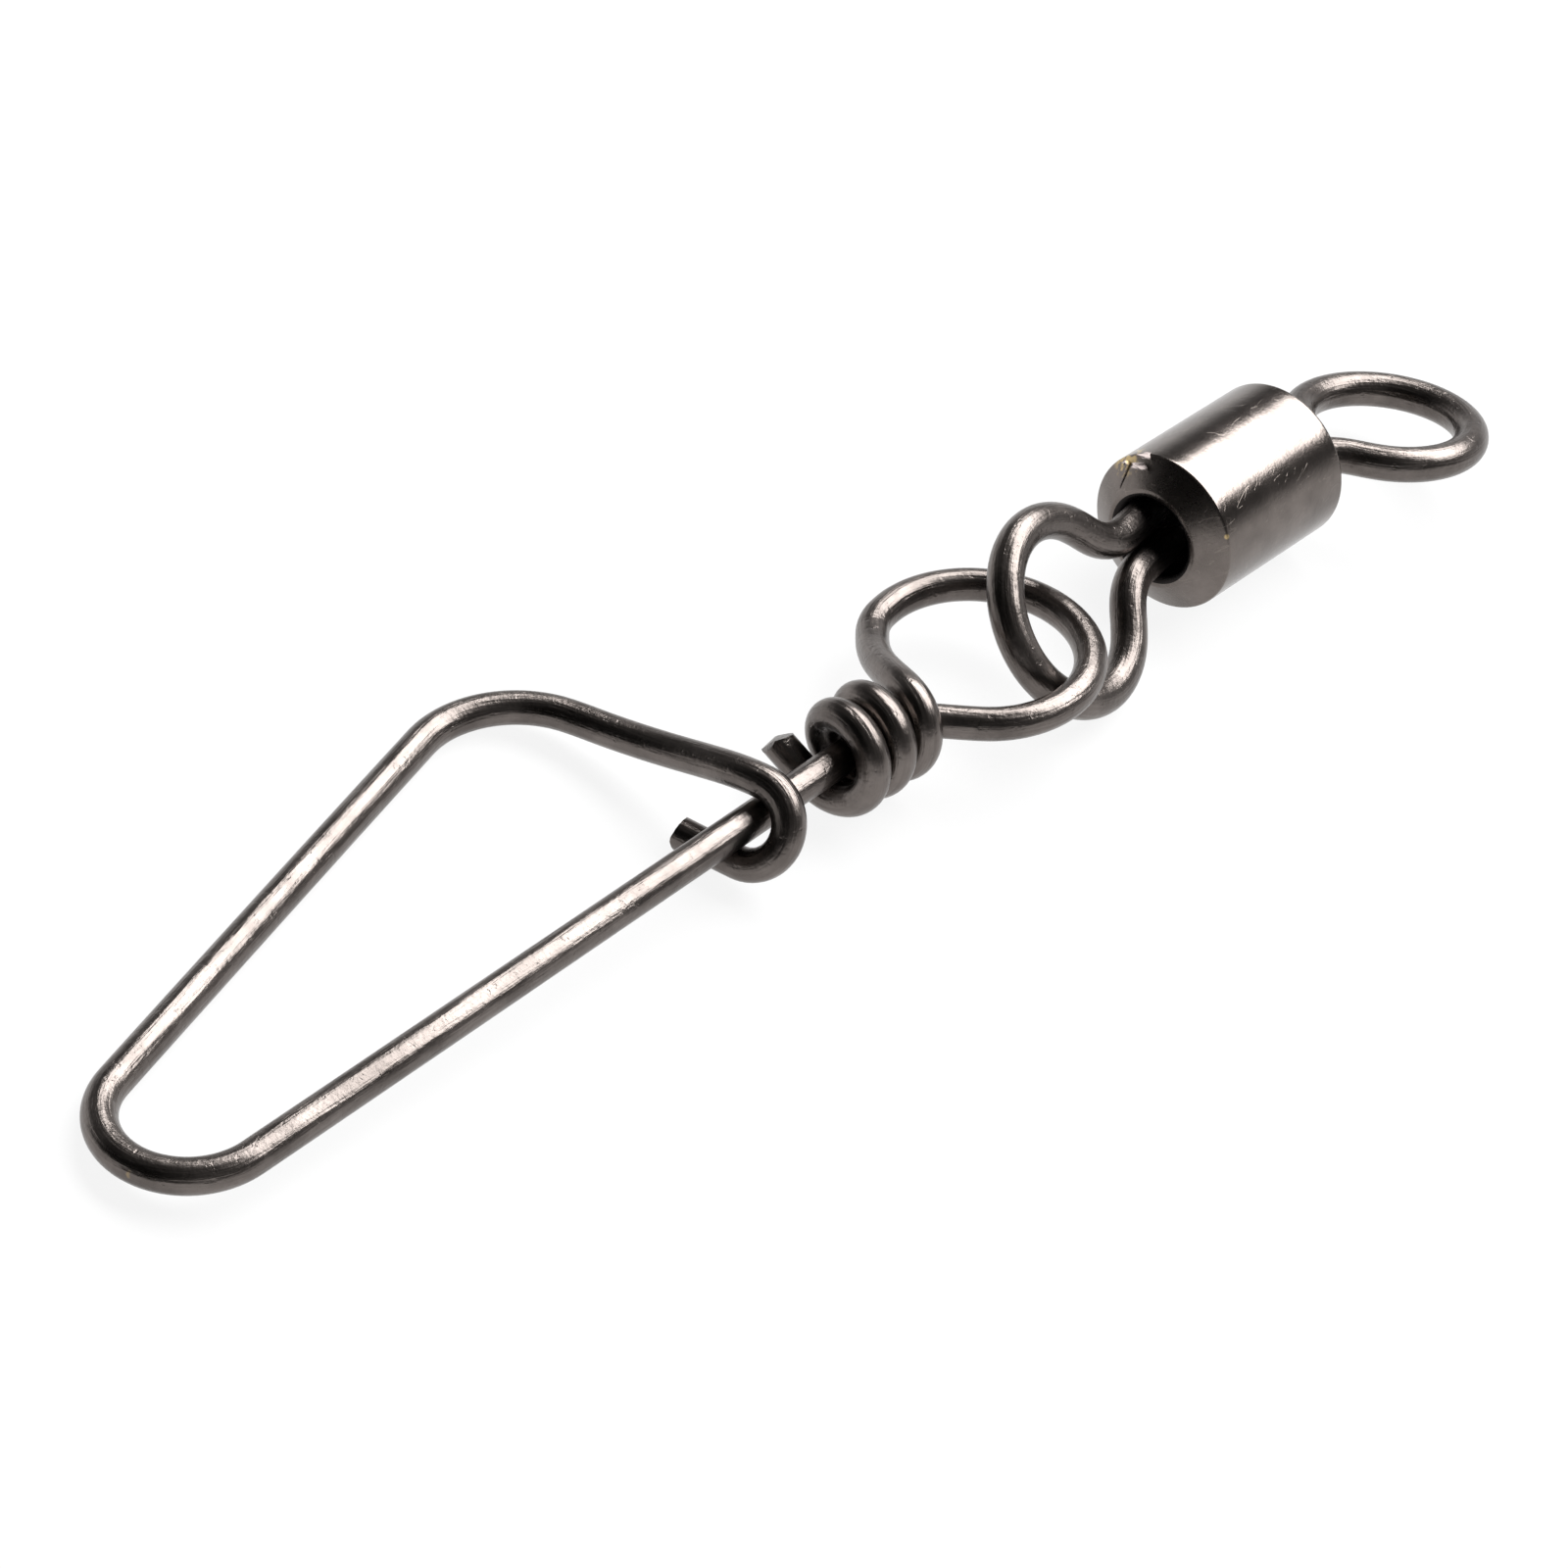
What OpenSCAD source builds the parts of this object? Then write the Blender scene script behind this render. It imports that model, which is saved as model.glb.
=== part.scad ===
// Rolling swivel with a hooked snap, lying on a flat surface.
// The chain runs along X: the snap's closed tip at low X, the line eye at high X.
// The origin is on the surface, under the middle of the whole object. Millimetres.

/* [Wire] */
// Diameter of the wire that the snap is bent from
wire_d = 1.2; // [0.9:0.05:1.3]
// Diameter of the stouter wire that both eyes of the barrel are bent from
eye_wire_d = 1.34; // [1.1:0.02:1.44]
// Gap between the two legs of an eye, and where the wire of the snap passes over itself
wire_gap = 0.06; // [0.04:0.01:0.12]

/* [Barrel] */
// Outside diameter of the barrel
barrel_d = 6.1; // [6:0.1:8]
// Length of the straight side, from shoulder to shoulder
barrel_len = 6.9; // [6:0.1:12]
// Thickness of the barrel's wall
barrel_wall = 0.5; // [0.35:0.05:0.6]
// How far each rolled-in end stands out past its shoulder
end_rise = 0.7; // [0.4:0.05:1.1]
// Rounding of each shoulder
shoulder_r = 0.15; // [0.1:0.05:0.6]
// Free space round an eye's pair of legs in the barrel's hole
hole_play = 0.36; // [0.32:0.02:0.5]

/* [Eyes] */
// Radius of an eye's bow, to the middle of the wire
bow_r = 3.3; // [2.8:0.05:4]
// Angle by which each leg spreads from the neck
leg_spread = 51.5; // [42:0.5:56]
// Bend radius where each leg leaves the neck
neck_r = 2.3; // [1.4:0.05:2.6]
// Length of the neck, where both legs lie side by side
neck_len = 2; // [1.9:0.05:2.3]
// Bend radius of the foot that turns outwards inside the barrel
foot_r = 0.85; // [0.8:0.05:1]
// Angle of that bend
foot_angle = 70; // [60:1:74]
// Straight length of the foot after its bend
foot_len = 0.35; // [0.3:0.05:0.4]

/* [Snap frame] */
// Straight length of the shank, from the tip's bend to where the hook crosses it
shank_len = 23.4; // [18:0.1:30]
// Bend radius of the tip
tip_r = 2.8; // [2:0.1:4]
// Angle between the outer arm and the shank
arm_angle = 15.5; // [11:0.5:18]
// Length of the outer arm
arm_len = 19.2; // [16:0.1:21]
// Bend radius of the corner
corner_r = 3.8; // [2.6:0.1:4.4]
// Angle between the crossbar and the shank where it leaves the corner
bar_angle = 76; // [66:1:84]
// Bend radius of the hook
hook_r = 1.45; // [1.4:0.05:2.2]
// Angle by which the hook leans back towards the tip
hook_lean = 7; // [0:1:14]
// Length of the hook's end after it has passed under the shank
hook_end = 2.4; // [1.4:0.1:3]

/* [Snap eye] */
// Distance along the shank from the hook's crossing to the first turn of the wrap
wrap_x = 7; // [6.4:0.1:9]
// Number of turns round the shank
wrap_turns = 2.6; // [2.2:0.01:3]
// Gap between neighbouring turns of the wrap
wrap_gap = 0.15; // [0.06:0.01:0.2]
// Free space between the shank and the turns round it
wrap_play = 0.26; // [0.06:0.02:0.3]
// Angle round the shank at which the wire from the eye has come down into the first turn
wrap_start = 68; // [60:1:76]
// Length of the cut end that leaves the last turn
wrap_end = 1.9; // [1:0.1:2.6]
// Distance along the shank from the bend into the eye to the first turn
eye_lead = 0.48; // [0.3:0.02:0.6]
// Angle by which the shank bends away into the eye
eye_bend = 51; // [46:1:56]
// Radius of that bend
eye_bend_r = 1.2; // [1:0.05:1.4]
// Straight length between that bend and the eye's round
eye_leg = 2.05; // [1.8:0.05:2.8]
// Radius of the eye's round, to the middle of the wire
eye_r = 3.95; // [3.75:0.05:4.6]
// Angle through which the eye's round runs
eye_sweep = 243; // [236:1:250]
// Radius of the tighter turn that brings the wire back from the round to the shank
eye_turn_r = 2.35; // [1.8:0.05:2.8]
// Angle of that turn
eye_turn = 26; // [20:1:32]
// Angle by which the wire climbs as it leaves that turn
eye_climb = 4.5; // [0:0.5:8]

/* [Lie] */
// Slack between the snap's eye and the front eye, along the chain
link_slack = 2.24; // [2:0.02:2.8]
// Sideways place of the barrel beside the shank's line
barrel_side = 0.3; // [0:0.1:0.6]
// How far the bow of the front eye ends above the end of the snap's eye
link_rise = 0.66; // [0.5:0.02:0.72]
// How far the bow of the front eye ends beside the end of the snap's eye
link_side = 1.45; // [1.2:0.05:1.55]
// How far the front eye is turned about its own length
front_turn = -43; // [-48:0.5:-40]
// How far the front eye's neck stands out of the barrel's hole
front_out = 1.1; // [0.9:0.02:1.2]
// How far the rear eye leans sideways
rear_yaw = -14.5; // [-15:0.1:0]
// How far the rear eye dips
rear_dip = 3.6; // [0:0.1:4]
// How far the rear eye is turned about its own length
rear_turn = -14; // [-30:1:30]
// How far the rear eye's neck stands out of the barrel's hole
rear_out = 0.2; // [0:0.02:0.6]

/* [Smoothness] */
// Number of sides round the wire
wire_sides = 14; // [10:2:24]
// Angle between two rings along a bend
bend_step = 12; // [6:1:18]

/* [Hidden] */
$fn = 64;
wire_color = [0.34, 0.32, 0.30];
barrel_color = [0.42, 0.40, 0.38];
wire_r = wire_d / 2;
wire_pitch = wire_d + wire_gap;
eye_wire_r = eye_wire_d / 2;
leg_y = eye_wire_r + wire_gap / 2;
hole_r = leg_y + eye_wire_r + hole_play;
barrel_r = barrel_d / 2;
bore_r = barrel_r - barrel_wall;
// Length of each leg between the neck's bend and the bow, so that the bow is centred on the neck
leg_len = (bow_r * cos(leg_spread) - leg_y - neck_r * (1 - cos(leg_spread))) / sin(leg_spread);
// Middle of the bow, from the neck's outer end
bow_x = neck_r * sin(leg_spread) + leg_len * cos(leg_spread) + bow_r * sin(leg_spread);
wrap_r = wire_d + wrap_play;
wrap_pitch = wire_d + wrap_gap;
// How far each free stretch keeps the direction of its two ends, as shares of its length:
// the crossbar, and the lead from the eye's tighter turn into the wrap
bar_ease = [0.55, 0.25];
lead_ease = [0.5, 0.32];
sweep_rings = 9;

function unit(v) = v / norm(v);
function last(list) = list[len(list) - 1];
function flat(lists) = [for (list = lists) for (item = list) item];
function backwards(list) = [for (i = [len(list) - 1:-1:0]) list[i]];
function steps(angle) = max(2, ceil(abs(angle) / bend_step));

// Points of an arc in the plane z = 0, without its first point
function arc(middle, radius, from, to) =
    let (n = steps(to - from))
    [for (i = [1:n]) let (a = from + (to - from) * i / n)
        [middle.x + radius * cos(a), middle.y + radius * sin(a), 0]];

// Points of a smooth sweep from p0 to p1 that leaves along t0 and arrives along t1,
// without its first point
function sweep(p0, t0, t1, p1) =
    [for (i = [1:sweep_rings]) let (t = i / sweep_rings, s = 1 - t)
        s * s * s * p0 + 3 * s * s * t * (p0 + t0) + 3 * s * t * t * (p1 - t1) + t * t * t * p1];

function turn_x(a, p) = [p.x, p.y * cos(a) - p.z * sin(a), p.y * sin(a) + p.z * cos(a)];
function turn_y(a, p) = [p.x * cos(a) + p.z * sin(a), p.y, p.z * cos(a) - p.x * sin(a)];
function turn_z(a, p) = [p.x * cos(a) - p.y * sin(a), p.x * sin(a) + p.y * cos(a), p.z];
function turned(angles, p) = turn_z(angles.z, turn_y(angles.y, turn_x(angles.x, p)));

// One side of an eye, from the tip of its foot to the start of the bow.
// The neck's outer end is at the origin and the bow points along +X.
foot_tip = [-neck_len - foot_r * sin(foot_angle) - foot_len * cos(foot_angle),
            leg_y + foot_r * (1 - cos(foot_angle)) + foot_len * sin(foot_angle), 0];
eye_side = flat([
    [foot_tip, [-neck_len - foot_r * sin(foot_angle), leg_y + foot_r * (1 - cos(foot_angle)), 0]],
    arc([-neck_len, leg_y + foot_r], foot_r, 270 - foot_angle, 270),
    [[0, leg_y, 0]],
    arc([0, leg_y + neck_r], neck_r, -90, leg_spread - 90),
    [[bow_x - bow_r * sin(leg_spread), bow_r * cos(leg_spread), 0]]]);
eye_path = flat([
    eye_side,
    arc([bow_x, 0], bow_r, 90 + leg_spread, -90 - leg_spread),
    [for (i = [len(eye_side) - 2:-1:0]) [eye_side[i].x, -eye_side[i].y, 0]]]);

// The snap in its own plane z = 0: the shank lies along X, the hook crosses it at the origin
arm_dir = [cos(arm_angle), sin(arm_angle), 0];
arm_side = [sin(arm_angle), -cos(arm_angle), 0];
arm_start = [-shank_len - tip_r * sin(arm_angle), tip_r + tip_r * cos(arm_angle), 0];
arm_stop = arm_start + arm_len * arm_dir;
corner_mid = arm_stop + corner_r * arm_side;
bar_start = corner_mid + corner_r * [sin(bar_angle), cos(bar_angle), 0];
bar_dir = [cos(bar_angle), -sin(bar_angle), 0];
hook_top = [0, 0, wire_pitch];
bar_len = norm(hook_top - bar_start);
hook_out = [sin(hook_lean), -cos(hook_lean), 0];
hook_rise = wire_pitch / hook_r;
hook_dir = sqrt(1 - hook_rise * hook_rise) * [cos(hook_lean), sin(hook_lean), 0] + [0, 0, hook_rise];
hook_mid = hook_top - hook_r * hook_dir;
frame_path = flat([
    [[-shank_len, 0, 0]],
    arc([-shank_len, tip_r], tip_r, -90, arm_angle - 270),
    [arm_stop],
    arc(corner_mid, corner_r, 90 + arm_angle, 90 - bar_angle),
    sweep(bar_start, bar_ease[0] * bar_len * bar_dir, bar_ease[1] * bar_len * hook_out, hook_top),
    [for (i = [1:steps(180)]) let (a = 180 * i / steps(180))
        hook_mid + hook_r * (cos(a) * hook_dir + sin(a) * hook_out)],
    [hook_mid - hook_r * hook_dir - hook_end * hook_out]]);

// The snap's eye, from the shank round to the wrap, and the wrap back along the shank
eye_x = wrap_x - eye_lead;
eye_start = [eye_x + eye_bend_r * sin(eye_bend), eye_bend_r * (cos(eye_bend) - 1), 0]
    + eye_leg * [cos(eye_bend), -sin(eye_bend), 0];
eye_mid = eye_start + eye_r * [sin(eye_bend), cos(eye_bend), 0];
turn_start = eye_sweep - 90 - eye_bend;
turn_stop = turn_start + eye_turn;
turn_mid = eye_mid + (eye_r - eye_turn_r) * [cos(turn_start), sin(turn_start), 0];
eye_arc = flat([
    arc(eye_mid, eye_r, -90 - eye_bend, turn_start),
    arc(turn_mid, eye_turn_r, turn_start, turn_stop)]);
eye_out = unit([-sin(turn_stop), cos(turn_stop), tan(eye_climb)]);
wrap_lean = wrap_pitch / (2 * PI * wrap_r);
wrap_step = 1.5 * bend_step;
wrap_angle = 360 * wrap_turns - wrap_start;
wrap_rings = ceil(wrap_angle / wrap_step);
function wrap_point(a) = [wrap_x - wrap_pitch * a / 360, -wrap_r * sin(a), wrap_r * cos(a)];
function wrap_dir(a) = unit([-wrap_lean, -cos(a), -sin(a)]);
lead_span = norm(wrap_point(wrap_start) - last(eye_arc));
loop_path = flat([
    [[eye_x, 0, 0]],
    arc([eye_x, -eye_bend_r], eye_bend_r, 90, 90 - eye_bend),
    [eye_start],
    eye_arc,
    sweep(last(eye_arc), lead_ease[0] * lead_span * eye_out,
        lead_ease[1] * lead_span * wrap_dir(wrap_start), wrap_point(wrap_start)),
    [for (i = [1:wrap_rings]) wrap_point(wrap_start + wrap_angle * i / wrap_rings)],
    [wrap_point(360 * wrap_turns) + wrap_end * wrap_dir(360 * wrap_turns)]]);
snap_flat = flat([backwards(loop_path), frame_path]);

// The snap rests along its outer arm and on the lowest point of its hook or wrap
function arm_reach(p) = (p - arm_start) * arm_side;
rest_tilt = atan(max([for (p = snap_flat) if (arm_reach(p) > wire_d) -p.z / arm_reach(p)]));
snap_pitch = asin(sin(arm_angle) * sin(rest_tilt));
snap_roll = asin(-cos(arm_angle) * sin(rest_tilt) / cos(snap_pitch));
snap_turn = [snap_roll, -snap_pitch, 0];
snap_lift = wire_r - turned(snap_turn, arm_start).z;
function snap_place(p) = turned(snap_turn, p) + [0, 0, snap_lift];

// The front eye hangs in the snap's eye with its slack, and leans from there to the barrel behind it
link_far = snap_place(eye_mid + [eye_r, 0, 0]);
front_reach = bow_x + bow_r;
front_lift = asin((link_far.z + link_rise - barrel_r) / front_reach);
front_yaw = asin((barrel_side + link_side - link_far.y) / (front_reach * cos(front_lift)));
front_angles = [front_turn, -front_lift, 180 + front_yaw];
rear_angles = [rear_turn, rear_dip, rear_yaw];
front_bow = turned(front_angles, [front_reach, 0, 0]);
hole_x = link_far.x - wire_r - eye_wire_r - link_slack - front_bow.x + front_out;
front_root = [hole_x - front_out, barrel_side, barrel_r];
rear_root = [hole_x + 2 * end_rise + barrel_len + rear_out, barrel_side, barrel_r];
front_placed = [for (p = eye_path) turned(front_angles, p) + front_root];
rear_placed = [for (p = eye_path) turned(rear_angles, p) + rear_root];
snap_placed = [for (p = snap_flat) snap_place(p)];

// The middle of the whole object is moved over the origin
eyes_placed = flat([front_placed, rear_placed]);
low_x = min([for (p = snap_placed) p.x]) - wire_r;
high_x = max([for (p = eyes_placed) p.x]) + eye_wire_r;
low_y = min(barrel_side - barrel_r, min([for (p = snap_placed) p.y]) - wire_r,
    min([for (p = eyes_placed) p.y]) - eye_wire_r);
high_y = max(barrel_side + barrel_r, max([for (p = snap_placed) p.y]) + wire_r,
    max([for (p = eyes_placed) p.y]) + eye_wire_r);
shift = [-(low_x + high_x) / 2, -(low_y + high_y) / 2, 0];

// A wire of round section swept along a path, with flat cut ends
module wire(path, radius) {
    n = len(path);
    dirs = [for (i = [0:n - 1]) unit(path[min(i + 1, n - 1)] - path[max(i - 1, 0)])];
    first = unit(cross(dirs[0], abs(dirs[0].z) < 0.8 ? [0, 0, 1] : [1, 0, 0]));
    sides = [for (i = 0, s = first; i < n;
        i = i + 1, s = i < n ? unit(s - (s * dirs[i]) * dirs[i]) : s) s];
    points = [for (i = [0:n - 1]) let (s = sides[i], t = cross(dirs[i], s))
        for (k = [0:wire_sides - 1]) let (a = 360 * k / wire_sides)
            path[i] + radius * (cos(a) * s + sin(a) * t)];
    skin = [for (i = [0:n - 2]) for (k = [0:wire_sides - 1])
        let (a = i * wire_sides + k, b = i * wire_sides + (k + 1) % wire_sides)
        each [[a, a + wire_sides, b], [b, a + wire_sides, b + wire_sides]]];
    near_end = [for (k = [0:wire_sides - 1]) k];
    far_end = [for (k = [wire_sides - 1:-1:0]) (n - 1) * wire_sides + k];
    polyhedron(points, concat([near_end], skin, [far_end]));
}

// Outline of one end of the barrel's wall, from the middle of the straight side to the hole.
// X is the radius here and Y runs outwards along the axis.
shoulder_y = barrel_len / 2;
rim_r = barrel_wall / 2;
rim_mid = [hole_r + rim_r, shoulder_y + end_rise - rim_r];
end_slope = atan2(rim_mid.y + rim_r - shoulder_y, barrel_r - rim_mid.x);
function side_arc(middle, radius, from, to) =
    let (n = 6) [for (i = [0:n]) let (a = from + (to - from) * i / n)
        [middle.x + radius * cos(a), middle.y + radius * sin(a)]];
end_outline = flat([
    side_arc([barrel_r - shoulder_r, shoulder_y - shoulder_r * tan((90 - end_slope) / 2)],
        shoulder_r, 0, 90 - end_slope),
    side_arc(rim_mid, rim_r, 90 - end_slope, 180 + 90 - end_slope),
    [[bore_r, rim_mid.y - rim_r - (bore_r - rim_mid.x) * tan(end_slope)]]]);

module barrel() color(barrel_color) {
    outline = flat([end_outline, [for (p = backwards(end_outline)) [p.x, -p.y]]]);
    translate(shift + [hole_x + end_rise + shoulder_y, barrel_side, barrel_r])
        rotate([0, 90, 0]) rotate_extrude() polygon(outline);
}

module front_eye() color(wire_color) wire([for (p = front_placed) p + shift], eye_wire_r);

module rear_eye() color(wire_color) wire([for (p = rear_placed) p + shift], eye_wire_r);

module snap() color(wire_color) wire([for (p = snap_placed) p + shift], wire_r);

barrel();
front_eye();
rear_eye();
snap();
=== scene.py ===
import math

import bmesh
import bpy
from mathutils import Matrix, Vector, noise


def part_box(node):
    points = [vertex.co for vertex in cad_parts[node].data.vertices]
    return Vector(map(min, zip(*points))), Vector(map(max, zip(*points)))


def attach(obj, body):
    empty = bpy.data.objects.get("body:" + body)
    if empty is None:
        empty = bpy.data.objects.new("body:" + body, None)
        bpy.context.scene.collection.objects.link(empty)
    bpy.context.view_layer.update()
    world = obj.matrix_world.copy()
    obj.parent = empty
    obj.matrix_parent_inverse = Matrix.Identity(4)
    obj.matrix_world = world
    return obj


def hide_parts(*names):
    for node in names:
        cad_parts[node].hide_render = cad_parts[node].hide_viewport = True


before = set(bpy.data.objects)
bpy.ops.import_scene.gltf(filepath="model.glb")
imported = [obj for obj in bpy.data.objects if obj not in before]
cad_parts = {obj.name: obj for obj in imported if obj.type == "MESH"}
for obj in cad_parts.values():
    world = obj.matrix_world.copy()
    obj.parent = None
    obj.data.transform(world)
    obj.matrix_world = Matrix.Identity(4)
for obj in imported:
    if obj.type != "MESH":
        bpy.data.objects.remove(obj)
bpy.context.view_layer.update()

mm = 0.001
print("frame loaded:", ", ".join(sorted(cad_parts)))


# camera

photoCamera = {
    "azimuth": 57.2,              # degrees from +Y towards +X, the way the camera looks
    "elevation": 42.59,           # degrees below the horizon
    "roll": 13.68,
    "distance": 165.43 * mm,      # depth of the origin in front of the lens
    "imageSize": 1600,            # pixels of the photograph
    "focal": 4828,                # in those pixels
    "originAt": (811.1, 748.4),   # pixel where the origin is seen
    "sensor": 36.0,
}


def placeCamera(setup):
    turn = math.radians(setup["azimuth"])
    dip = math.radians(setup["elevation"])
    roll = math.radians(setup["roll"])
    ahead = Vector((math.sin(turn) * math.cos(dip), math.cos(turn) * math.cos(dip), -math.sin(dip)))
    level = Vector((math.cos(turn), -math.sin(turn), 0))
    above = level.cross(ahead)
    right = level * math.cos(roll) + above * math.sin(roll)
    up = above * math.cos(roll) - level * math.sin(roll)
    half = setup["imageSize"] / 2
    aside = (setup["originAt"][0] - half) / setup["focal"]
    aloft = (half - setup["originAt"][1]) / setup["focal"]
    data = bpy.data.cameras.new("photoCamera")
    data.sensor_width = setup["sensor"]
    data.lens = setup["focal"] / setup["imageSize"] * setup["sensor"]
    data.clip_start = 0.01
    data.clip_end = 20
    camera = bpy.data.objects.new("photoCamera", data)
    bpy.context.collection.objects.link(camera)
    axes = Matrix((right, up, -ahead)).transposed().to_4x4()
    camera.matrix_world = Matrix.Translation(-setup["distance"] * (ahead + aside * right + aloft * up)) @ axes
    bpy.context.scene.camera = camera


placeCamera(photoCamera)
print("camera placed")


# shader maths

class Value:                      # a node's output that can stand in a sum
    def __init__(self, board, socket):
        self.board = board
        self.socket = socket

    def maths(self, operation, first, second):
        return self.board.node("ShaderNodeMath", {"operation": operation}, {0: first, 1: second})

    def __add__(self, other):
        return self.maths("ADD", self, other)

    def __radd__(self, other):
        return self.maths("ADD", other, self)

    def __sub__(self, other):
        return self.maths("SUBTRACT", self, other)

    def __rsub__(self, other):
        return self.maths("SUBTRACT", other, self)

    def __mul__(self, other):
        return self.maths("MULTIPLY", self, other)

    def __rmul__(self, other):
        return self.maths("MULTIPLY", other, self)


class Board:                      # one node tree being built
    def __init__(self, tree):
        self.tree = tree
        tree.nodes.clear()

    def node(self, kind, settings=None, sockets=None, out=0):
        made = self.tree.nodes.new(kind)
        for name, value in (settings or {}).items():
            if name == "stops":
                self.setStops(made.color_ramp, value)
            else:
                setattr(made, name, value)
        for key, value in (sockets or {}).items():
            if isinstance(value, Value):
                self.tree.links.new(value.socket, made.inputs[key])
            else:
                made.inputs[key].default_value = value
        return Value(self, made.outputs[out] if made.outputs else None)

    def setStops(self, ramp, stops):
        while len(ramp.elements) < len(stops):
            ramp.elements.new(1.0)
        for element, (place, level) in zip(ramp.elements, stops):
            element.position = place
            element.color = (level, level, level, 1)

    def stretched(self, vector, scale, place=(0, 0, 0), turn=(0, 0, 0)):
        return self.node("ShaderNodeMapping", {}, {"Vector": vector, "Scale": scale, "Location": place,
                                                   "Rotation": turn})

    def cloud(self, vector, scale=1.0, detail=2.0, roughness=0.5):
        return self.node("ShaderNodeTexNoise", {}, {"Vector": vector, "Scale": scale, "Detail": detail,
                                                    "Roughness": roughness})

    def steps(self, value, *stops):
        return self.node("ShaderNodeValToRGB", {"stops": stops}, {"Fac": value})

    def near(self, vector, point, inner, outer):
        # 1 within the inner distance of a point, 0 past the outer one
        away = self.node("ShaderNodeVectorMath", {"operation": "DISTANCE"}, {0: vector, 1: point}, 1)
        return self.node("ShaderNodeMapRange", {}, {0: away, 1: inner, 2: outer, 3: 1.0, 4: 0.0})

    def hairlines(self, vector, scale, turn, thin, rare):
        # Fine scratches: the contour of a stretched cloud, kept only in some places
        turned = self.node("ShaderNodeMapping", {}, {"Vector": vector, "Rotation": turn})
        field = self.cloud(self.stretched(turned, scale), detail=0.0)
        line = self.steps(field, (0.5 - thin, 0.0), (0.5, 1.0), (0.5 + thin, 0.0))
        kept = self.cloud(self.stretched(turned, [0.6 * s for s in scale], (5, 9, 2)), detail=1.0)
        return line * self.steps(kept, (rare, 0.0), (rare + 0.04, 1.0))

    def mixed(self, factor, first, second):
        return self.node("ShaderNodeMix", {"data_type": "RGBA"}, {0: factor, 6: first, 7: second}, 2)

    def bump(self, height, depth, below=None):
        sockets = {"Height": height, "Distance": depth, "Strength": 1.0}
        if below:
            sockets["Normal"] = below
        return self.node("ShaderNodeBump", {}, sockets)


def opaque(color):
    return (*color, 1)


def newMaterial(name):
    material = bpy.data.materials.new(name)
    material.use_nodes = True
    return material, Board(material.node_tree)


def metal(board, color, roughness, normal):
    shader = board.node("ShaderNodeBsdfPrincipled", {}, {
        "Base Color": color, "Metallic": 1.0, "Roughness": roughness, "Normal": normal})
    board.node("ShaderNodeOutputMaterial", {}, {"Surface": shader})


# wires

wireLook = {
    "sides": 40,
    "ringGap": 0.22 * mm,         # longest step between two rings in a bend
    "straightGap": 1.5 * mm,      # and along a straight
    "color": (0.170, 0.149, 0.138),
    "shade": (0.108, 0.094, 0.087),
    "brass": (0.40, 0.30, 0.16),
    "roughness": (0.22, 0.36),
    "lineSize": (0.14 * mm, 0.14 * mm, 2.2 * mm),       # of the drawing lines, which run along the wire
    "lineDepth": 0.028 * mm,
    "grainSize": 0.16 * mm,
    "grainDepth": 0.011 * mm,
    "dentSize": 0.9 * mm,
    "dentDepth": 0.022 * mm,
    "pitSize": 0.35 * mm,
    "pitDepth": 0.008 * mm,
    "smudgeSize": 1.6 * mm,
}

cutLook = dict(wireLook, color=(0.16, 0.14, 0.13), shade=(0.045, 0.040, 0.038),
               lineSize=(0.6 * mm, 0.12 * mm, 0.12 * mm), lineDepth=0.05 * mm)

nips = {                          # bevels that the cutter left: slant, turn about the wire, ridge off the middle
    "first": ((16, 30, 0.15 * mm), (30, -80, 0.42 * mm)),
    "last": ((24, 80, -0.05 * mm), (32, -50, 0.34 * mm)),
}
cutterSide = Vector((-0.62, -0.40, 0.68))
ragged = 0.04 * mm                # how uneven the cutter left the rim


def centreLine(nodeName):
    # Ring by ring from one cut end to the other: the edges round a cut end are the only sharp ones
    bm = bmesh.new()
    bm.from_mesh(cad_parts[nodeName].data)
    bmesh.ops.remove_doubles(bm, verts=bm.verts, dist=0.001 * mm)
    sharp = [e for e in bm.edges if e.is_manifold and e.calc_face_angle() > math.radians(60)]
    start = min((v for e in sharp for v in e.verts), key=lambda v: tuple(v.co))
    ring = {start}
    for _ in sharp:
        ring |= {v for e in sharp for v in e.verts if ring & set(e.verts)}
    seen = set()
    middles = []
    radius = 0
    while ring:
        middles.append(sum((v.co for v in ring), Vector()) / len(ring))
        radius = radius or (start.co - middles[0]).length
        seen |= ring
        ring = {e.other_vert(v) for v in ring for e in v.link_edges} - seen
    bm.free()
    return middles, radius


def smoothLine(points, bendGap, straightGap):
    # A curve through the points that leaves each one along the line between its neighbours
    last = len(points) - 1
    ways = [(points[min(i + 1, last)] - points[max(i - 1, 0)]).normalized() for i in range(last + 1)]
    line = [points[0]]
    for a, b, wayA, wayB in zip(points, points[1:], ways, ways[1:]):
        span = (b - a).length
        gap = bendGap if wayA.angle(wayB) > math.radians(1) else straightGap
        count = max(1, math.ceil(span / gap))
        for i in range(1, count + 1):
            t = i / count
            s = 1 - t
            line.append(s * s * (1 + 2 * t) * a + t * t * (1 + 2 * s) * b
                        + s * t * span * (s * wayA - t * wayB))
    return line


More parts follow.
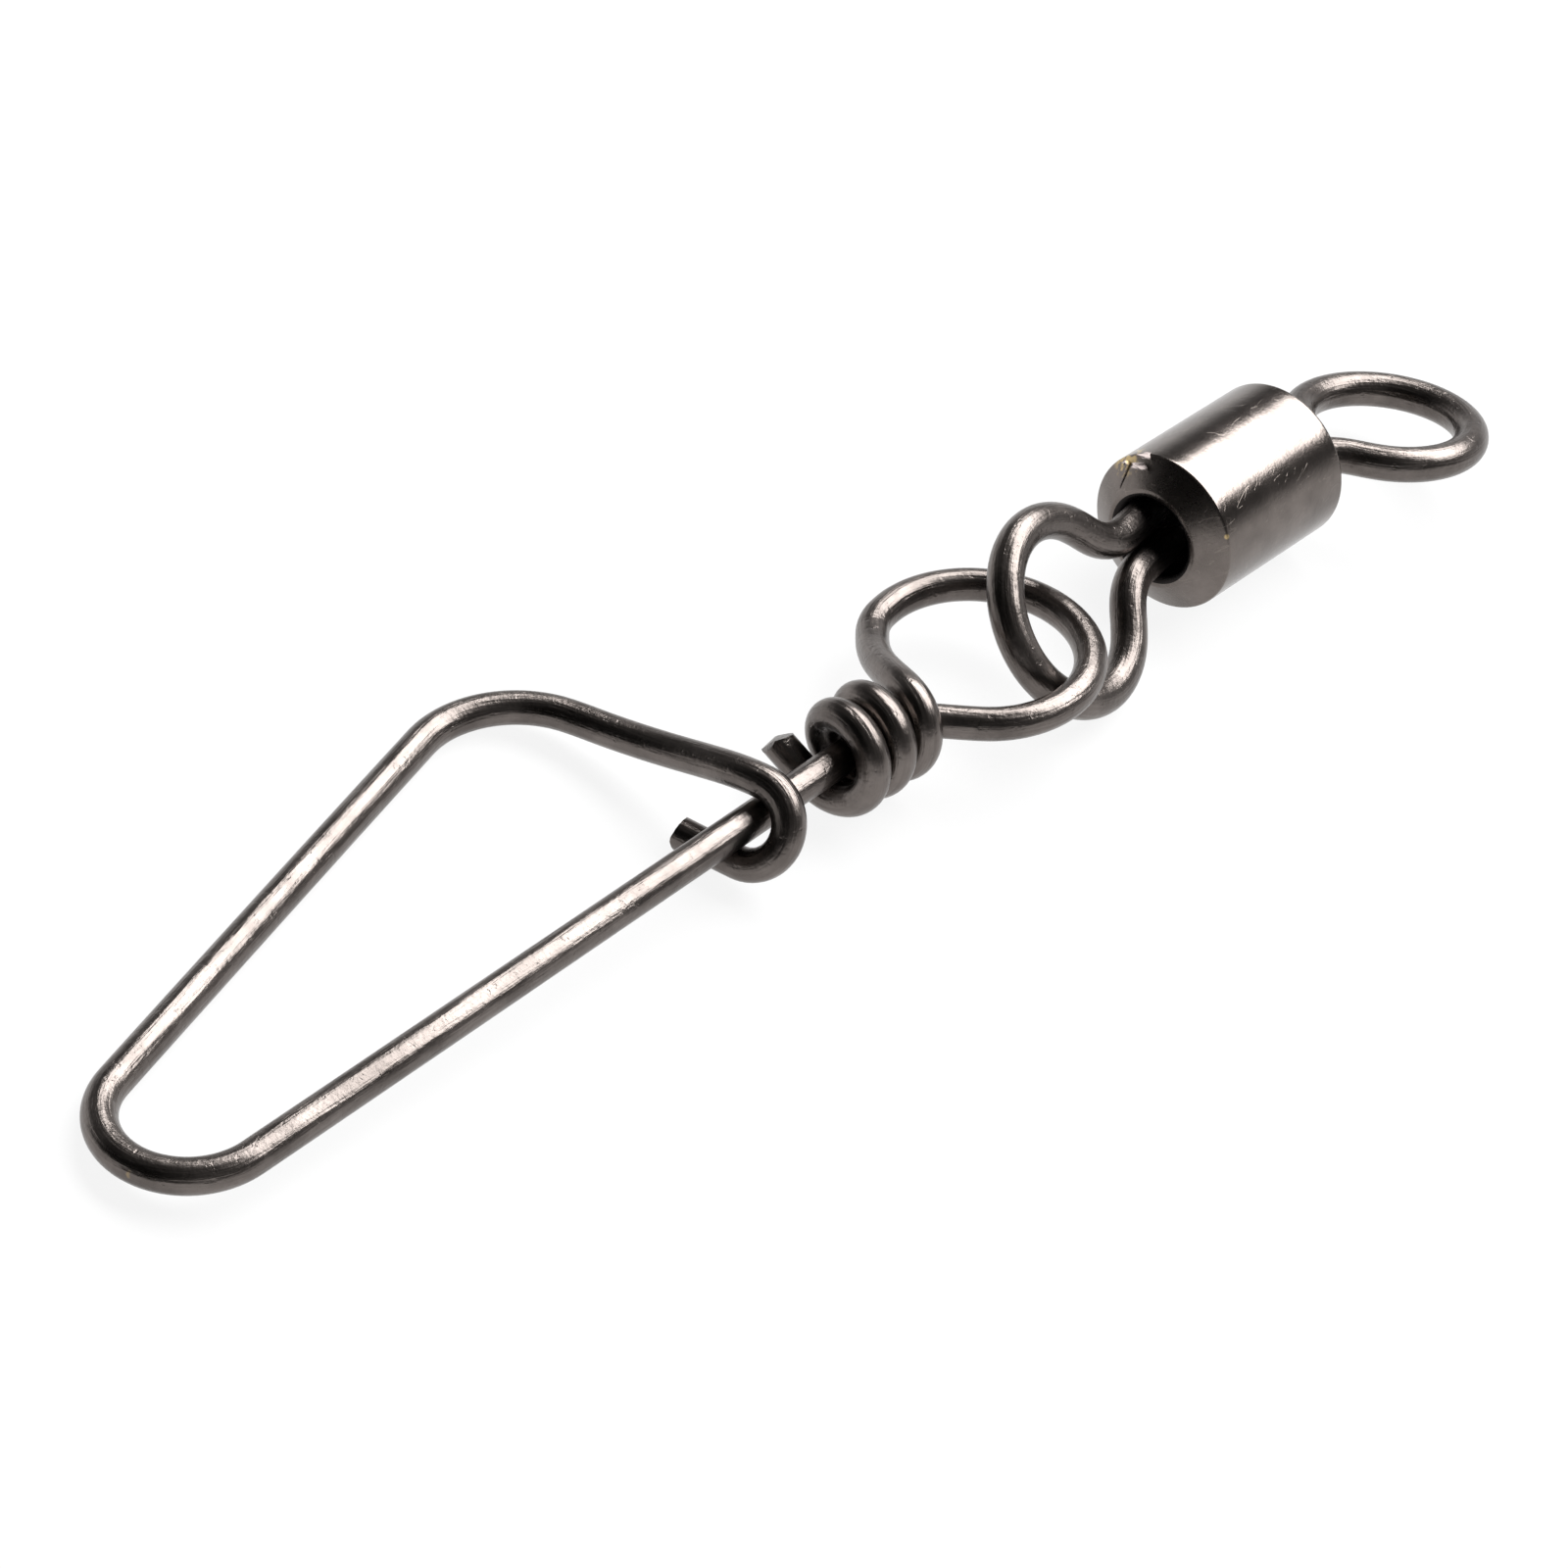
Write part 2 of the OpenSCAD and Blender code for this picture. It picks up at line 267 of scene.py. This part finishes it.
def bendWire(points, radius, look):
    # A straight wire with a ring for each point is laid along them, turning no more than they do
    last = len(points) - 1
    bm = bmesh.new()
    straight = bm.verts.layers.float_vector.new("straightWire")   # where each point was before the bending
    bmesh.ops.create_circle(bm, cap_ends=True, segments=look["sides"], radius=radius)
    bmesh.ops.spin(bm, geom=bm.edges[:], cent=(0, 0, 0), axis=(0, 0, 1), dvec=(0, 0, 1), angle=0,
                   steps=last)
    bmesh.ops.holes_fill(bm, edges=[e for e in bm.edges if e.is_boundary], sides=0)
    ways = [(points[min(i + 1, last)] - points[max(i - 1, 0)]).normalized() for i in range(last + 1)]
    turns = [Vector((0, 0, 1)).rotation_difference(ways[0]).to_matrix()]
    alongs = [0.0]
    for i in range(last):
        turns.append(ways[i].rotation_difference(ways[i + 1]).to_matrix() @ turns[i])
        alongs.append(alongs[i] + (points[i + 1] - points[i]).length)
    for v in bm.verts:
        ring = round(v.co.z)
        v[straight] = (v.co.x, v.co.y, alongs[ring])
        v.co = points[ring] + turns[ring] @ Vector((v.co.x, v.co.y, 0))
    return bm


def nipEnd(bm, tip, way, reach, bevels):
    # The straight wire's points within reach of the tip are cut by one plane for each bevel
    straight = bm.verts.layers.float_vector["straightWire"]
    for slant, turn, ridge in bevels:
        side = (cutterSide - cutterSide.dot(way) * way).normalized()
        side = Matrix.Rotation(math.radians(turn), 3, way) @ side
        normal = math.cos(math.radians(slant)) * way + math.sin(math.radians(slant)) * side
        verts = [v for v in bm.verts if reach[0] <= v[straight].z <= reach[1]]
        edges = {e for v in verts for e in v.link_edges}
        faces = {f for v in verts for f in v.link_faces}
        bmesh.ops.bisect_plane(bm, geom=verts + list(edges) + list(faces), dist=0.0001 * mm,
                               plane_co=tip + ridge * side, plane_no=normal, clear_outer=True)
        made = bmesh.ops.holes_fill(bm, edges=[e for e in bm.edges if e.is_boundary], sides=0)
        for face in made["faces"]:
            face.material_index = 1
    for v in {v for face in bm.faces if face.material_index == 1 for v in face.verts}:
        if reach[0] <= v[straight].z <= reach[1]:
            v.co += ragged * noise.noise(v.co / (0.15 * mm)) * way


def finishPiece(bm, name, node, materials):
    bmesh.ops.remove_doubles(bm, verts=bm.verts, dist=0.0005 * mm)
    bmesh.ops.recalc_face_normals(bm, faces=bm.faces)
    mesh = bpy.data.meshes.new(name)
    bm.to_mesh(mesh)
    bm.free()
    mesh.shade_smooth()
    mesh.set_sharp_from_angle(angle=math.radians(40))
    piece = bpy.data.objects.new(name, mesh)
    bpy.context.collection.objects.link(piece)
    for material in materials:
        mesh.materials.append(material)
    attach(piece, node)
    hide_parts(node)
    return piece


def wireMaterial(name, look):
    material, board = newMaterial(name)
    straight = board.node("ShaderNodeAttribute", {"attribute_name": "straightWire"}, {}, "Vector")
    lines = board.cloud(board.stretched(straight, [1 / size for size in look["lineSize"]]), detail=3.0)
    grain = board.cloud(straight, 1 / look["grainSize"], detail=2.0)
    dents = board.cloud(straight, 1 / look["dentSize"], detail=1.0)
    pits = board.steps(board.cloud(straight, 1 / look["pitSize"], detail=3.0, roughness=0.6),
                       (0.28, 0.0), (0.40, 1.0))
    smudge = board.cloud(straight, 1 / look["smudgeSize"], detail=5.0, roughness=0.65)
    worn = board.steps(board.cloud(board.stretched(straight, (900, 900, 900), (3, 7, 1)), detail=2.0),
                       (0.765, 0.0), (0.80, 1.0))
    color = board.mixed(board.steps(smudge, (0.36, 0.0), (0.64, 1.0)), opaque(look["shade"]),
                        opaque(look["color"]))
    color = board.mixed(0.3 - 0.3 * pits, color, opaque(look["shade"]))
    color = board.mixed(0.5 * board.steps(lines, (0.30, 1.0), (0.50, 0.0)), color, opaque(look["shade"]))
    color = board.mixed(worn * 0.7, color, opaque(look["brass"]))
    low, high = look["roughness"]
    roughness = low + (high - low) * (0.6 * lines + 0.4 * smudge)
    normal = board.bump(dents, look["dentDepth"], board.bump(grain, look["grainDepth"]))
    normal = board.bump(pits, look["pitDepth"], board.bump(lines, look["lineDepth"], normal))
    metal(board, color, roughness, normal)
    return material


wireMetal = wireMaterial("blackenedWire", wireLook)
cutMetal = wireMaterial("nippedEnd", cutLook)
for nodeName in ("snap", "front_eye", "rear_eye"):
    middles, radius = centreLine(nodeName)
    path = smoothLine(middles, wireLook["ringGap"], wireLook["straightGap"])
    bm = bendWire(path, radius, wireLook)
    length = sum((b - a).length for a, b in zip(path, path[1:]))
    reach = 1.3 * mm
    nipEnd(bm, path[0], (path[0] - path[1]).normalized(), (0, reach), nips["first"])
    nipEnd(bm, path[-1], (path[-1] - path[-2]).normalized(), (length - reach, length + mm), nips["last"])
    finishPiece(bm, nodeName + "_wire", nodeName, (wireMetal, cutMetal))
    print(nodeName, "bent from one wire,", len(path), "rings")


# barrel

barrelLook = {
    "straight": 6.9 * mm,         # from shoulder to shoulder
    "rise": 0.7 * mm,             # how far a rolled-in end stands out
    "wall": 0.5 * mm,
    "shoulder": 0.15 * mm,
    "hole": 1.60 * mm,            # radius of the hole in each end
    "sides": 160,
    "color": (0.182, 0.158, 0.145),
    "shade": (0.128, 0.111, 0.102),
    "brass": (0.50, 0.38, 0.20),
    "wornSize": 0.25 * mm,
    # inside: near-black painted shade for the faces inside the bore, standing in for the shade in the cavity
    "inside": (0.02, 0.018, 0.018),
    "roughness": (0.13, 0.23),
    "endRoughness": 0.10,         # added on the cones, which the rolling left duller
    "grainSize": 0.14 * mm,
    "grainDepth": 0.004 * mm,
    "smudgeSize": 1.5 * mm,
    "scratch": (0.30, 0.26, 0.23),
    "scratchDepth": 0.002 * mm,
    "nick": (148.6, 3.02 * mm, 0.12 * mm),        # angle round the barrel, radius and size of a brassy nick
    "worn": (41, 2.95 * mm, 0.80 * mm),           # and of the place by the burrs where the brass shows
}

chipLook = dict(barrelLook, color=(0.27, 0.235, 0.225), shade=(0.17, 0.145, 0.14), roughness=(0.36, 0.48))

# Burrs on the front shoulder: angle round the barrel, radius, distance along the axis from its middle,
# the flake's length, width and thickness, and how it lies
burrs = (
    (60, 2.72 * mm, -3.80 * mm, 0.90 * mm, 0.36 * mm, 0.08 * mm, "lifted"),
    (62, 3.00 * mm, -3.50 * mm, 0.85 * mm, 0.30 * mm, 0.08 * mm, "lifted"),
    (43, 2.84 * mm, -3.64 * mm, 0.40 * mm, 0.20 * mm, 0.06 * mm, "lifted"),
    (38, 2.49 * mm, -3.82 * mm, 1.00 * mm, 0.11 * mm, 0.06 * mm, "along the cone"),
)
burrLies = {                      # the way the flake faces, and its length
    "lifted": (Vector((0, -0.26, 0.965)), Vector((1, -0.50, -0.135))),
    "along the cone": (Vector((-0.863, 0.395, 0.313)), Vector((-0.40, -0.089, -0.894))),
}


def arcPoints(middle, radius, start, end, count):
    return [(middle[0] + radius * math.cos(math.radians(start + (end - start) * i / count)),
             middle[1] + radius * math.sin(math.radians(start + (end - start) * i / count)))
            for i in range(count + 1)]


def barrelOutline(look, radius):
    # (radius, distance along the axis) of one end, from the straight side round the rolled lip to the cavity
    half = look["straight"] / 2
    lip = look["wall"] / 2
    lipMiddle = (look["hole"] + lip, half + look["rise"] - lip)
    slope = math.degrees(math.atan2(lipMiddle[1] + lip - half, radius - lipMiddle[0]))
    shoulderMiddle = (radius - look["shoulder"],
                      half - look["shoulder"] * math.tan(math.radians(90 - slope) / 2))
    bore = radius - look["wall"]
    inside = lipMiddle[1] - lip - (bore - lipMiddle[0]) * math.tan(math.radians(slope))
    return (arcPoints(shoulderMiddle, look["shoulder"], 0, 90 - slope, 8)
            + arcPoints(lipMiddle, lip, 90 - slope, 270 - slope, 12) + [(bore, inside)])


def makeBarrel(look):
    low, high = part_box("barrel")
    middle = (low + high) / 2
    radius = (high.z - low.z) / 2
    end = barrelOutline(look, radius)
    outline = end + [(r, -along) for r, along in reversed(end)]
    bm = bmesh.new()
    verts = [bm.verts.new((along, 0, r)) for r, along in outline]
    edges = [bm.edges.new(pair) for pair in zip(verts, verts[1:] + verts[:1])]
    bmesh.ops.spin(bm, geom=verts + edges, cent=(0, 0, 0), axis=(1, 0, 0), angle=math.tau,
                   steps=look["sides"], use_merge=True)
    longest = [e for e in bm.edges if e.calc_length() > 3 * mm]
    bmesh.ops.subdivide_edges(bm, edges=longest, cuts=24, use_grid_fill=True)
    bmesh.ops.recalc_face_normals(bm, faces=bm.faces)
    # faces looking inward, the bore and the lip's inner side, get the near-black painted shade of the cavity
    for face in bm.faces:
        out = face.calc_center_median() * Vector((0, 1, 1))
        if face.normal.dot(out.normalized()) < -0.3:
            face.material_index = 1
    for burr in burrs:
        addFlake(bm, *burr)
    bmesh.ops.translate(bm, vec=middle, verts=bm.verts)
    return bm


def addFlake(bm, angle, radius, along, length, width, thickness, lie):
    # A thin raised chip with an uneven edge, half sunk in the shell
    turn = math.radians(angle)
    face, way = burrLies[lie]
    face = face.normalized()
    way = (way - way.dot(face) * face).normalized()
    place = Matrix((way, face.cross(way), face)).transposed().to_4x4()
    place.translation = (along, radius * math.cos(turn), radius * math.sin(turn))
    made = bmesh.ops.create_icosphere(bm, subdivisions=3, radius=0.5)
    for v in made["verts"]:
        uneven = 1 + 0.4 * noise.noise(3 * v.co + Vector((angle, 0, 0)))
        v.co = Vector((v.co.x * length * uneven, v.co.y * width * uneven, v.co.z * thickness))
    for face in {face for v in made["verts"] for face in v.link_faces}:
        face.material_index = 2
    bmesh.ops.transform(bm, matrix=place, verts=made["verts"])


def barrelMaterial(name, look):
    material, board = newMaterial(name)
    middle = sum(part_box("barrel"), Vector()) / 2
    place = board.node("ShaderNodeTexCoord", {}, {}, "Object")
    grain = board.cloud(place, 1 / look["grainSize"], detail=3.0)
    smudge = board.cloud(place, 1 / look["smudgeSize"], detail=5.0, roughness=0.6)
    scratches = (board.hairlines(place, (350, 2200, 4000), (0.5, 0.3, 0.9), 0.014, 0.56)
                 + board.hairlines(place, (300, 2800, 2800), (0.1, 0.15, -0.35), 0.014, 0.59))
    color = board.mixed(board.steps(smudge, (0.34, 0.0), (0.66, 1.0)), opaque(look["shade"]),
                        opaque(look["color"]))
    color = board.mixed(0.4 * scratches, color, opaque(look["scratch"]))
    patchy = board.steps(board.cloud(place, 1 / look["wornSize"], detail=3.0), (0.48, 0.0), (0.58, 1.0))
    for spot, cover in (("nick", 1.0), ("worn", patchy)):
        angle, radius, size = look[spot]
        turn = math.radians(angle)
        point = middle + Vector((-look["straight"] / 2, radius * math.cos(turn), radius * math.sin(turn)))
        color = board.mixed(board.near(place, point, 0.5 * size, size) * cover, color, opaque(look["brass"]))
    low, high = look["roughness"]
    along = board.node("ShaderNodeSeparateXYZ", {}, {0: place}, 0) - middle.x
    onCone = board.node("ShaderNodeMath", {"operation": "GREATER_THAN"}, {
        0: board.node("ShaderNodeMath", {"operation": "ABSOLUTE"}, {0: along}), 1: look["straight"] / 2})
    roughness = low + (high - low) * (0.5 * grain + 0.5 * smudge) + look["endRoughness"] * onCone
    normal = board.bump(grain, look["grainDepth"], board.bump(scratches, look["scratchDepth"]))
    metal(board, color, roughness, normal)
    return material


def paintedShadeInsideMaterial(name, look):
    # painted shade: the cavity's faces are coloured near-black for the shade that falls inside the barrel
    material, board = newMaterial(name)
    place = board.node("ShaderNodeTexCoord", {}, {}, "Object")
    grain = board.cloud(place, 1 / look["grainSize"], detail=3.0)
    color = board.mixed(grain, opaque(look["inside"]), opaque(look["shade"]))
    color = board.mixed(0.25, opaque(look["inside"]), color)
    metal(board, color, 0.5 + 0.2 * grain, board.bump(grain, look["grainDepth"]))
    return material


barrelMetal = barrelMaterial("blackenedBarrel", barrelLook)
paintedShadeInsideMetal = paintedShadeInsideMaterial("barrelInsidePaintedShade", barrelLook)
chippedMetal = barrelMaterial("chippedPlating", chipLook)
finishPiece(makeBarrel(barrelLook), "barrel_shell", "barrel",
            (barrelMetal, paintedShadeInsideMetal, chippedMetal))
print("barrel spun")


# studio

studio = {
    "panelAway": 1.0,             # a large soft oval panel faces the object from the chain's far end
    "panelHeight": 52,            # degrees above the horizon
    "panelWide": 1.50,
    "panelHigh": 0.64,
    "panelGlow": 10.0,            # radiance, where white paper is 1
    "skyLevels": ((0.0, 1.0), (0.13, 0.60), (0.27, 0.17), (0.50, 0.08)),    # by height above the horizon
    "flagFrom": (-0.908, 0.243, 0.342),           # a black board that the barrel's front cone mirrors
    "flagLevels": ((0.60, 1.0), (0.86, 0.04)),
    "floorRadius": 3.0,
    "floorColor": (0.11, 0.11, 0.11),
    "floorClear": (0.89, 0.89, 0.89),             # a milky sheet: what swings below it still shows
}


def makePanel(setup):
    lift = math.radians(setup["panelHeight"])
    data = bpy.data.lights.new("panel", "AREA")
    data.shape = "ELLIPSE"
    data.size = setup["panelWide"]
    data.size_y = setup["panelHigh"]
    area = math.pi / 4 * setup["panelWide"] * setup["panelHigh"]
    data.energy = setup["panelGlow"] * area * math.pi
    panel = bpy.data.objects.new("panel", data)
    panel.location = setup["panelAway"] * Vector((math.cos(lift), 0, math.sin(lift)))
    panel.rotation_euler = (math.pi / 2 - lift, 0, math.pi / 2)
    panel.visible_camera = False
    bpy.context.collection.objects.link(panel)


def makeSky(setup):
    world = bpy.data.worlds.new("studio")
    world.use_nodes = True
    bpy.context.scene.world = world
    board = Board(world.node_tree)
    way = board.node("ShaderNodeTexCoord", {}, {}, "Generated")
    height = board.node("ShaderNodeSeparateXYZ", {}, {0: way}, 2)
    towards = board.node("ShaderNodeVectorMath", {"operation": "DOT_PRODUCT"}, {0: way, 1: setup["flagFrom"]}, 1)
    below = height.maths("LESS_THAN", height, 0.0)
    flag = board.steps(towards, *setup["flagLevels"]) * (1 - below) + below
    level = board.steps(height, *setup["skyLevels"]) * flag
    camera = board.node("ShaderNodeLightPath", {}, {}, "Is Camera Ray")
    shown = level * (1 - camera) + camera         # the camera sees white above the horizon too
    sky = board.node("ShaderNodeBackground", {}, {"Color": shown, "Strength": 1.0})
    board.node("ShaderNodeOutputWorld", {}, {"Surface": sky})


def makeFloor(setup):
    bm = bmesh.new()
    bmesh.ops.create_circle(bm, cap_ends=True, segments=96, radius=setup["floorRadius"])
    mesh = bpy.data.meshes.new("floor")
    bm.to_mesh(mesh)
    bm.free()
    floor = bpy.data.objects.new("floor", mesh)
    bpy.context.collection.objects.link(floor)
    material, board = newMaterial("paleFloor")
    lit = board.node("ShaderNodeBsdfDiffuse", {}, {"Color": opaque(setup["floorColor"])})
    clear = board.node("ShaderNodeBsdfTransparent", {}, {"Color": opaque(setup["floorClear"])})
    both = board.node("ShaderNodeAddShader", {}, {0: lit, 1: clear})
    board.node("ShaderNodeOutputMaterial", {}, {"Surface": both})
    mesh.materials.append(material)


makePanel(studio)
makeSky(studio)
makeFloor(studio)
bpy.context.scene.view_settings.view_transform = "Standard"
print("studio lit")
